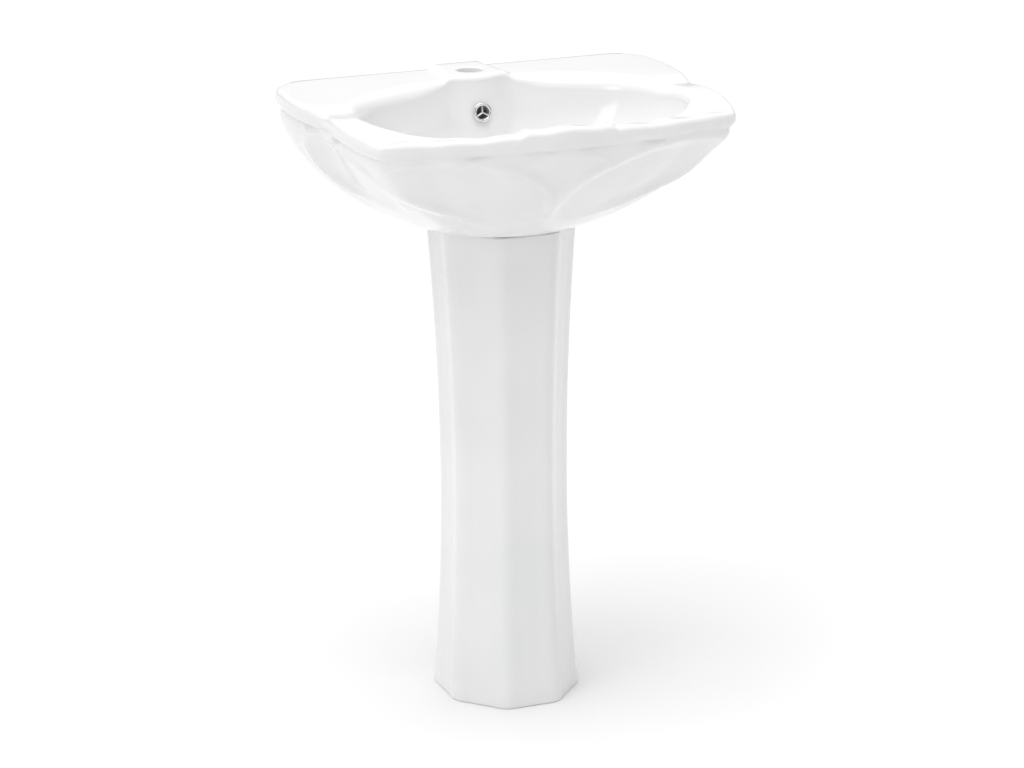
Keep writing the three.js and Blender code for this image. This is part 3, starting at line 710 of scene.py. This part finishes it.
def hollow_solid():
    """The cast hollow under the bowl, open at the back and over the pedestal."""
    coarse = RIM[::4]
    ceiling = outside_ring(CEILING_SHARE, WALL + 4, WALL, coarse)
    hollow = loft("hollow", [ceiling, *lower_rings(WALL, coarse, NECK["top"] - WALL, 12)])
    neck = column("neck", ellipse(PEDESTAL_CENTRE, NECK["radii"], 96), [NECK["bottom"], NECK["top"]])
    bottom = BOSS["z"] - WALL
    middle, panel = PEDESTAL_CENTRE[1], BACK_PANEL_BOTTOM
    outline = [[WALL, bottom], [middle, bottom], [middle, panel - BACK_OPENING["front"]],
               [WALL, panel + BACK_OPENING["rise"]], [-WALL, panel], [-WALL, bottom]]
    combine(hollow, "UNION", neck, prism("back_opening", outline, BACK_OPENING["half"]))
    boss = place(disc("drain_boss", DRAIN_BOSS["r"], DRAIN_BOSS["bottom"], BOWL_FLOOR_Z - 2), *DRAIN)
    duct = prism("duct", duct_outline(DECK_Z - WALL / 2, DUCT["skin"]), DUCT["half"])
    return combine(hollow, "DIFFERENCE", bowl_jacket(BOWL_SKIN), boss, duct)


def flared_hole(name, r, edge, bottom, surface):
    """A drill whose mouth flares out by edge, so the glaze rolls over into the hole."""
    profile = [[0, bottom], [r, bottom]]
    for angle in np.linspace(0, math.pi / 2, 7):
        profile.append([r + edge * (1 - math.cos(angle)), surface - edge + edge * math.sin(angle)])
    profile += [[r + edge, surface + 4 * WALL], [0, surface + 4 * WALL]]
    return turned(name, profile, 128)


def at_overflow(piece):
    """Turns a piece made about Z to lie in the bowl's back wall, facing the front."""
    return place(piece, 0, OVERFLOW["reach"], OVERFLOW["z"], 90 - OVERFLOW["tilt"])


def basin():
    piece = combine(basin_solid(), "DIFFERENCE", hollow_solid())
    tap_top = deck_height(np.array([[0.0, TAP["reach"]]]))[0]
    tap_hole = flared_hole("tap_hole", TAP["r"], TAP["edge"], DECK_Z - 3 * WALL, tap_top + 0.04)
    bore = disc("bore", WASTE_BORE_R, DRAIN_BOSS["bottom"] - WALL, BOWL_FLOOR_Z + WALL)
    tools = [place(tap_hole, 0, TAP["reach"]), place(bore, *DRAIN)]
    for x in (-BOLT["x"], BOLT["x"]):
        bolt = flared_hole("bolt_hole", BOLT["r"], BOLT["edge"], -2 * WALL, 0.04)
        tools.append(place(bolt, x, 0, BOLT["z"], -90))
    for r, back in ((OVERFLOW["r"], -20), (OVERFLOW["spot"], -1)):
        tools.append(at_overflow(disc("overflow_drill", r, back, 20)))
    tools.append(prism("duct_channel", duct_outline(OVERFLOW["z"] + DUCT["top"], 0), DUCT["channel"]))
    combine(piece, "DIFFERENCE", *tools)
    finished(shade(piece), "glazed_ceramic", "sink", "basin")


# ---------- pedestal ----------

def pedestal_ring(z, inset, flute, steps):
    radii = PEDESTAL_RADII
    end = radii["top"] if z > PEDESTAL_WAIST else radii["foot"]
    reach = PEDESTAL_TOP - PEDESTAL_WAIST if z > PEDESTAL_WAIST else PEDESTAL_WAIST
    part = (abs(z - PEDESTAL_WAIST) / reach) ** 2
    rx, ry = (waist + (limit - waist) * part for waist, limit in zip(radii["waist"], end))
    angle = np.arange(steps) / steps * 2 * math.pi
    turn = FLUTES * (angle - math.pi / FLUTES - math.pi / 2)
    wave = flute * (np.cos(turn) + 0.18 * np.cos(2 * turn))
    x = PEDESTAL_CENTRE[0] + (rx - inset + wave) * np.cos(angle)
    return np.column_stack([x, PEDESTAL_CENTRE[1] + (ry - inset + wave) * np.sin(angle), np.full(steps, z)])


def pedestal():
    edge = PEDESTAL_EDGE
    turns = np.linspace(0, math.pi / 2, 6)
    levels = [(edge * (1 - math.cos(a)), edge * (1 - math.sin(a))) for a in turns[:-1]]
    levels += [(z, 0) for z in np.linspace(edge, PEDESTAL_TOP - edge, 60)]
    levels += [(PEDESTAL_TOP - edge * (1 - math.sin(a)), edge * (1 - math.cos(a))) for a in turns[1:]]
    rings = [pedestal_ring(z, inset, FLUTE_DEPTH, 400) for z, inset in levels]
    piece = loft("pedestal_glazed", rings)
    heights = np.linspace(-1, PEDESTAL_TOP + 1, 24)
    inner = loft("inside", [pedestal_ring(z, WALL, 0, 160) for z in heights])
    back = block("back", 200, (-5, PEDESTAL_OPEN_REACH), (-5, PEDESTAL_TOP + 5))
    combine(piece, "DIFFERENCE", inner, back)
    finished(shade(piece, 40), "glazed_ceramic", "sink", "pedestal")


# ---------- overflow ----------

def overflow_ring():
    """The chrome ring of the overflow: a rolled rim with three rounded bars that meet in the middle."""
    rim = [[8.7, -0.7], [13.0, -0.7], [13.2, 0.4], [12.4, 1.8], [10.9, 2.3], [9.4, 1.9], [8.7, 0.9]]
    piece = turned("overflow_grille", rounded(rim, 0.5), 128)
    for turn in (0, 120, 240):
        half, top = 1.15, 1.1
        section = [[half * math.cos(a), top * math.sin(a)] for a in np.arange(16) / 16 * 2 * math.pi]
        vertices = [(x * MM, y * MM, z * MM) for y in (-0.6, 4.6, 9.6) for x, z in section]
        faces = [(r * 16 + i, r * 16 + (i + 1) % 16, (r + 1) * 16 + (i + 1) % 16, (r + 1) * 16 + i)
                 for r in range(2) for i in range(16)]
        faces += [tuple(range(15, -1, -1)), tuple(range(32, 48))]
        bar = mesh_object("bar", vertices, faces)
        bar.data.transform(Matrix.Rotation(math.radians(turn), 4, "Z"))
        combine(piece, "UNION", bar)
    finished(shade(at_overflow(piece)), "chrome", "sink", "overflow_ring")


# ---------- waste and plug ----------

FLANGE = {"r": 31.5, "bottom": low_of("bowl_seal")[2] + 2.1, "top": high_of("waste_body")[2]}
TAIL = {"bore": 19, "r": 22.2, "bottom": low_of("waste_body")[2], "slot": (672, 686)}
THREAD = {"start": 2, "top": 662, "pitch": 2.5, "depth": 0.7, "steps": 8}


PLUG = {"height": 5.4, "dome_r": 28, "sag": 2.848}


def tail_thread():
    """The outside of the waste's tail from its bottom up: a round-crested thread under a plain shank."""
    start, pitch, steps = TAIL["bottom"] + THREAD["start"], THREAD["pitch"], THREAD["steps"]
    turns = int((THREAD["top"] - start) / pitch)
    profile = [[TAIL["r"] - THREAD["depth"], TAIL["bottom"]]]
    for step in range(turns * steps + 1):
        z = start + step * pitch / steps
        dent = THREAD["depth"] * (0.5 + 0.5 * math.cos(2 * math.pi * step / steps))
        profile.append([TAIL["r"] - dent, z])
    profile.append([TAIL["r"], z + 1.5])
    return profile


def waste():
    """The chrome waste: a rolled flange in the bowl, a slotted shank and a threaded tail."""
    top, r, bore = FLANGE["top"], FLANGE["r"], TAIL["bore"]
    flange = rounded([[TAIL["r"], FLANGE["bottom"]], [r, FLANGE["bottom"]], [r, top - 1.2], [r - 3, top],
                      [bore + 2.2, top], [bore, top - 3]], 0.9, 6)
    profile = [[bore, TAIL["bottom"]], *tail_thread(), *flange]
    piece = turned("waste_turned", profile, 112)
    slot = block("slot", 7, (DRAIN[1] - r, DRAIN[1] + r), TAIL["slot"])
    combine(place(piece, *DRAIN), "DIFFERENCE", slot)
    finished(shade(piece), "chrome", "sink", "waste_body")


def plug():
    """The plug's domed cap with a rolled edge, on its stem."""
    cap = low_of("plug_cap")[2]
    top = cap + PLUG["height"]
    dome = [[PLUG["dome_r"] * math.sin(a), top - PLUG["sag"] * (1 - math.cos(a))]
            for a in np.linspace(0.02, 1.5, 20)]
    edge = rounded([[28.2, cap], [29.5, cap + 1.2], [29.2, cap + 2.2]], 0.7)[2:-2]
    profile = [[0, cap], *edge, *dome[::-1], [0, top]]
    piece = place(turned("plug_dome", profile, 128), *DRAIN)
    finished(shade(piece, 40), "chrome", "plug", "plug_cap")


# ---------- trap ----------

PIPE_R = 16
PIPE_BORE = 14.2
PIPE_MOUTH = PIPE_R + 0.4
BOTTLE = {"r": 30, "wall": 3, "shoulder": 8, "spigot": 130, "spigot_r": 17.5}
# Each nut's lip bore, bore, outside radius, bevel and lip.
INLET_NUT = (16.6, 22.6, 31, 3, 3.7)
OUTLET_NUT = (PIPE_MOUTH, 18, 25, 2, 4)
OUTLET_Z = (low_of("outlet_pipe")[2] + high_of("outlet_pipe")[2]) / 2
RIBS = {"count": 28, "depth": 0.9, "from": 1.5}


def ribbed(outer, low, high):
    """A radius that dips into grip grooves on the outer wall between two heights."""
    def radius_at(r, z, angle):
        if r < outer - 0.6 or z < low or z > high:
            return r
        return r - RIBS["depth"] * (0.5 + 0.5 * math.cos(RIBS["count"] * angle)) ** 3
    return radius_at


def filled(profile, step=2.0):
    """A closed profile with its long sides split, so that ribs along it stay round."""
    points = np.array(profile, float)
    result = []
    for a, b in zip(points, np.roll(points, -1, 0)):
        parts = max(1, int(np.linalg.norm(b - a) / step))
        result += [a + (b - a) * k / parts for k in range(parts)]
    return result


def screwed_collar(name, node, size, bottom, top, stand):
    """A nut with a lip of the first bore under a wider bore, and grip ribs round its outside."""
    lip_bore, bore, outer, bevel, lip = size
    profile = rounded([[lip_bore, bottom], [outer - bevel, bottom], [outer, bottom + bevel],
                       [outer, top - bevel], [outer - bevel, top], [bore, top], [bore, bottom + lip],
                       [lip_bore, bottom + lip]], 0.8)
    ribs = ribbed(outer, bottom + bevel + RIBS["from"], top - bevel - RIBS["from"])
    piece = place(turned(name, filled(profile), 224, ribs), *stand)
    finished(shade(piece, 50), "white_plastic", "sink", node)


ON_DRAIN = (*DRAIN, 0, 0)
FROM_WALL = (0, 0, OUTLET_Z, 90)


def trap_bottle():
    """The bottle of the trap with the spigot that leads back to the wall."""
    bottom, top = low_of("trap_body")[2], high_of("trap_body")[2]
    r, wall, shoulder = BOTTLE["r"], BOTTLE["wall"], BOTTLE["shoulder"]
    spigot, spigot_r = BOTTLE["spigot"], BOTTLE["spigot_r"]
    profile = rounded([[r - wall, bottom], [r, bottom], [r, top - shoulder], [r - shoulder, top],
                       [PIPE_MOUTH, top], [PIPE_MOUTH, top - wall], [r - shoulder - wall / 2, top - wall],
                       [r - wall, top - shoulder - 1]], 2.5, 8)
    piece = place(turned("trap_bottle", profile, 144), *DRAIN)
    root = DRAIN[1] - r + 2
    tube = turned("tube", [[PIPE_BORE, spigot], [spigot_r, spigot], [spigot_r, root], [PIPE_BORE, root]])
    bore = disc("bore", PIPE_BORE, spigot - 1, DRAIN[1] - r / 2)
    combine(piece, "UNION", place(tube, *FROM_WALL))
    combine(piece, "DIFFERENCE", place(bore, *FROM_WALL))
    finished(shade(piece, 40), "white_plastic", "sink", "trap_body")


def trap_cup():
    """The cup that unscrews from the bottle, with grip ribs round its collar."""
    bottom, rim = low_of("trap_cup")[2], high_of("trap_cup")[2]
    profile = rounded([[0, bottom], [16, bottom + 1], [26, bottom + 6], [29, bottom + 16], [29, rim - 14],
                       [32, rim - 12], [32, rim], [26, rim], [26, bottom + 18], [22, bottom + 10],
                       [14, bottom + 5], [0, bottom + 4]], 2.0, 6)
    piece = place(turned("trap_cup_ribbed", filled(profile), 224, ribbed(32, rim - 10.5, rim - 2)), *DRAIN)
    finished(shade(piece, 50), "white_plastic", "sink", "trap_cup")


def outlet():
    """The pipe into the wall, its nut on the trap's spigot, and the chrome flange against the wall."""
    pipe_end = WALL_Y - low_of("outlet_pipe")[1]
    pipe = [[PIPE_BORE, 0], [PIPE_R, 0], [PIPE_R, pipe_end], [PIPE_BORE, pipe_end]]
    piece = place(turned("outlet_pipe_smooth", rounded(pipe, 0.5), 96), *FROM_WALL)
    finished(shade(piece), "white_plastic", "sink", "outlet_pipe")
    back = WALL_Y - high_of("trap_outlet_nut")[1]
    screwed_collar("outlet_nut_ribbed", "trap_outlet_nut", OUTLET_NUT, back, back + 22, FROM_WALL)
    rosette = rounded([[PIPE_MOUTH, 0], [36, 0], [36, 1.5], [30, 4.5], [19, 7], [PIPE_MOUTH, 7]], 1.2, 8)
    piece = place(turned("wall_rosette", rosette, 144), *FROM_WALL)
    finished(shade(piece, 45), "chrome", "sink", "wall_flange")


def trap():
    trap_bottle()
    trap_cup()
    bottom, top = low_of("trap_inlet_nut")[2], high_of("trap_inlet_nut")[2]
    screwed_collar("inlet_nut_ribbed", "trap_inlet_nut", INLET_NUT, bottom, top, ON_DRAIN)
    outlet()


# ---------- everything that keeps its CAD shape ----------

def dress_cad_nodes():
    """Gives each CAD node that still shows the material of its slot in the record."""
    slots = {entry["node"]: entry["material_slot"] for entry in frame["record"]["subparts"]}
    for name, piece in frame["nodes"].items():
        if piece.hide_render:
            continue
        piece.data.materials.clear()
        piece.data.materials.append(MATERIALS[slots[name]])
        shade(piece, 25)


# ---------- studio ----------

# The sky's brightness at the horizon on either side, and what is added straight up and towards the wall.
SKY = {"level": 0.28, "upward": 1.10, "backward": 0.2}


def studio():
    bpy.ops.mesh.primitive_plane_add(size=60, location=(0, 0, 0))
    floor = bpy.context.object
    floor.name = "floor"
    made, shader = material("pale_floor", Specular_IOR_Level=0.15)
    wire(made, ramp(made, noise(made, 1.5, 3.0), "Fac", (0.81, 0.81, 0.81), (0.83, 0.83, 0.83)), "Color",
         shader, "Base Color")
    wire(made, ramp(made, noise(made, 20.0, 3.0), "Fac", 0.7, 0.8), "Color", shader, "Roughness")
    floor.data.materials.append(made)

    world = bpy.data.worlds.new("studio")
    world.use_nodes = True
    sky = world.node_tree.nodes["Background"]
    sky.inputs["Color"].default_value = (1, 1, 1, 1)
    bpy.context.scene.world = world
    axes = node(world, "ShaderNodeSeparateXYZ")
    wire(world, node(world, "ShaderNodeTexCoord"), "Generated", axes, "Vector")
    upward = node(world, "ShaderNodeMath", operation="MULTIPLY_ADD")
    backward = node(world, "ShaderNodeMath", operation="MULTIPLY_ADD")
    upward.inputs[1].default_value = SKY["upward"]
    upward.inputs[2].default_value = SKY["level"]
    backward.inputs[1].default_value = SKY["backward"]
    wire(world, axes, "Z", upward, 0)
    wire(world, axes, "Y", backward, 0)
    wire(world, upward, "Value", backward, 2)
    wire(world, backward, "Value", sky, "Strength")
    overhead()
    softbox("left", (-2.6, -1.6, 1.9), (0, 0, 0.7), 1.5, 9)
    softbox("over_the_bowl", (0.05, 0, 1.75), (0, 0, 0.8), 0.7, 1.3)
    bpy.context.scene.view_settings.view_transform = "Standard"


def overhead():
    """Wide soft light from above, a little from the left and the front."""
    light = bpy.data.lights.new("overhead", "SUN")
    light.energy = 0.9
    light.angle = math.radians(45)
    hang(light, (0, 0, 0), (0.30, 0.22, -1))


def softbox(name, place_at, aim, size, power):
    """A rectangular light at a place, turned to face its aim."""
    light = bpy.data.lights.new(name, "AREA")
    light.shape = "RECTANGLE"
    light.size, light.size_y = size, size * 0.7
    light.energy = power
    hang(light, place_at, Vector(aim) - Vector(place_at))


def hang(light, place_at, direction):
    lamp = bpy.data.objects.new(light.name, light)
    lamp.location = place_at
    lamp.rotation_mode = "QUATERNION"
    lamp.rotation_quaternion = Vector(direction).to_track_quat("-Z", "Y")
    bpy.context.scene.collection.objects.link(lamp)


CAMERA = {"place": (-1.5769, -4.0781, 1.7646), "azimuth": 21.1, "down": 16.9, "roll": 0.6, "lens": 121.6}


def camera():
    """Looks at the sink from the front left, a little above its rim."""
    data = bpy.data.cameras.new("camera")
    data.lens = CAMERA["lens"]
    data.sensor_width = 36
    data.clip_end = 100
    view = bpy.data.objects.new("camera", data)
    azimuth, down, roll = (math.radians(CAMERA[key]) for key in ("azimuth", "down", "roll"))
    turn = Matrix.Rotation(-azimuth, 3, "Z") @ Matrix.Rotation(math.pi / 2 - down, 3, "X")
    turn = turn @ Matrix.Rotation(-roll, 3, "Z")
    view.matrix_world = Matrix.Translation(CAMERA["place"]) @ turn.to_4x4()
    bpy.context.scene.collection.objects.link(view)
    bpy.context.scene.camera = view


camera()
studio()
basin()
pedestal()
overflow_ring()
waste()
plug()
trap()
dress_cad_nodes()
